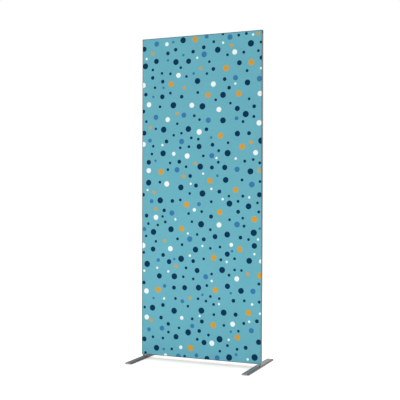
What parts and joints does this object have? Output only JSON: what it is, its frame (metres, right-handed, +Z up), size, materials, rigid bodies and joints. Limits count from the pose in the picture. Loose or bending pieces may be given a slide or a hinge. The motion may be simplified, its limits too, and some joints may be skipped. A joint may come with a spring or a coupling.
{
  "type": "room divider",
  "caption": "Free-standing room divider: a tall flat panel of stretched printed textile in a slim aluminium frame, standing on thin flat metal feet that swivel under its ends.",
  "frame": {"origin": "on the floor, under the middle of the panel", "axes": "+X along the panel to the right as the front is seen, +Y from front to back, +Z up"},
  "size_m": [0.8, 0.48, 2.02],
  "materials": {
    "frame_aluminium": "satin anodised",
    "corner_plastic": "moulded, matt",
    "cast_zinc": "satin silver-grey coat",
    "printed_textile": "knitted, printed",
    "edge_silicone": "smooth",
    "foot_steel": "satin silver-grey coat",
    "foot_rubber": "matt",
    "washer_nylon": "smooth",
    "insert_brass": "turned",
    "plated_steel": "zinc plated"
  },
  "bodies": {
    "frame": {"back_bottom_strip": "edge_silicone", "back_left_strip": "edge_silicone", "back_right_strip": "edge_silicone", "back_textile": "printed_textile", "back_top_strip": "edge_silicone", "bottom_left_corner": "cast_zinc", "bottom_rail": "frame_aluminium", "bottom_right_corner": "cast_zinc", "brace_screws": "plated_steel", "corner_grub_screws": "plated_steel", "front_bottom_strip": "edge_silicone", "front_left_strip": "edge_silicone", "front_right_strip": "edge_silicone", "front_textile": "printed_textile", "front_top_strip": "edge_silicone", "left_brace_plug": "corner_plastic", "left_foot_bolt": "plated_steel", "left_splice_bar": "plated_steel", "left_threaded_insert": "insert_brass", "left_upright_lower": "frame_aluminium", "left_upright_upper": "frame_aluminium", "middle_brace": "frame_aluminium", "right_brace_plug": "corner_plastic", "right_foot_bolt": "plated_steel", "right_splice_bar": "plated_steel", "right_threaded_insert": "insert_brass", "right_upright_lower": "frame_aluminium", "right_upright_upper": "frame_aluminium", "splice_grub_screws": "plated_steel", "top_left_corner": "corner_plastic", "top_rail": "frame_aluminium", "top_right_corner": "corner_plastic"},
    "left_foot": {"left_foot_plate": "foot_steel", "left_foot_pads": "foot_rubber", "left_swivel_washer": "washer_nylon"},
    "right_foot": {"right_foot_plate": "foot_steel", "right_foot_pads": "foot_rubber", "right_swivel_washer": "washer_nylon"}
  },
  "joints": [
    {"name": "left_foot_swivel", "type": "hinge", "parent": "frame", "child": "left_foot", "pos_m": [-0.39, 0, 0.0085], "axis": [0, 0, 1], "range_deg": [-90, 90]},
    {"name": "right_foot_swivel", "type": "hinge", "parent": "frame", "child": "right_foot", "pos_m": [0.39, 0, 0.0085], "axis": [0, 0, 1], "range_deg": [-90, 90]}
  ]
}
